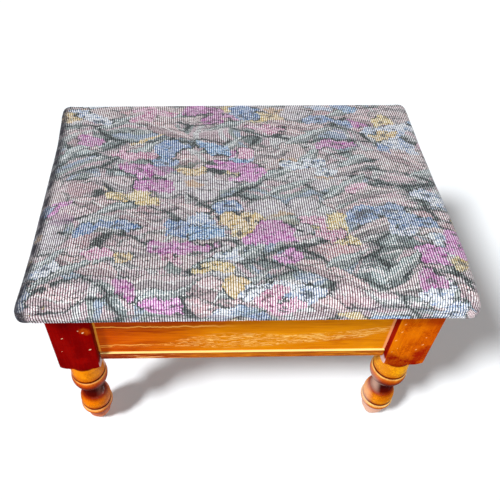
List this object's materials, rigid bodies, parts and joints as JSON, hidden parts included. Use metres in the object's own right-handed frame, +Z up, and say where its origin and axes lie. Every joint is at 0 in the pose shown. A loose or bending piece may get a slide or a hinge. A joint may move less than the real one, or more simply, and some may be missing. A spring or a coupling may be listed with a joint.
{
  "type": "storage footstool",
  "caption": "Low storage footstool: fabric-covered padded lid, hinged at the back, on a wooden box with square-topped turned legs.",
  "frame": {"origin": "on the floor, under the middle of the footstool", "axes": "+X to the right along the front, +Y to the back where the hinges are, +Z up"},
  "size_m": [0.406, 0.292, 0.2761],
  "materials": {
    "varnished_wood": "gloss varnish, honey to red-brown",
    "plywood": "bare",
    "steel": "zinc plated",
    "brass": "satin",
    "foam": "open-cell foam",
    "woven_fabric": "ribbed woven floral tapestry",
    "lining_cloth": "plain black cloth on card"
  },
  "bodies": {
    "frame": {"leg_front_left": "varnished_wood", "leg_front_right": "varnished_wood", "leg_back_left": "varnished_wood", "leg_back_right": "varnished_wood", "apron_front": "varnished_wood", "apron_back": "varnished_wood", "apron_left": "varnished_wood", "apron_right": "varnished_wood", "bottom_board": "varnished_wood", "bottom_screws": "steel", "hinge_left_frame_leaf": "brass", "hinge_right_frame_leaf": "brass", "hinge_left_pin": "brass", "hinge_right_pin": "brass", "hinge_frame_screws": "brass"},
    "lid": {"lid_board": "plywood", "foam_pad": "foam", "fabric_cover": "woven_fabric", "lid_lining": "lining_cloth", "hinge_left_lid_leaf": "brass", "hinge_right_lid_leaf": "brass", "hinge_lid_screws": "brass", "cover_staples": "steel"}
  },
  "joints": [
    {"name": "lid_hinge", "type": "hinge", "parent": "frame", "child": "lid", "pos_m": [0, 0.134, 0.2435], "axis": [-1, 0, 0], "range_deg": [0, 124]}
  ]
}
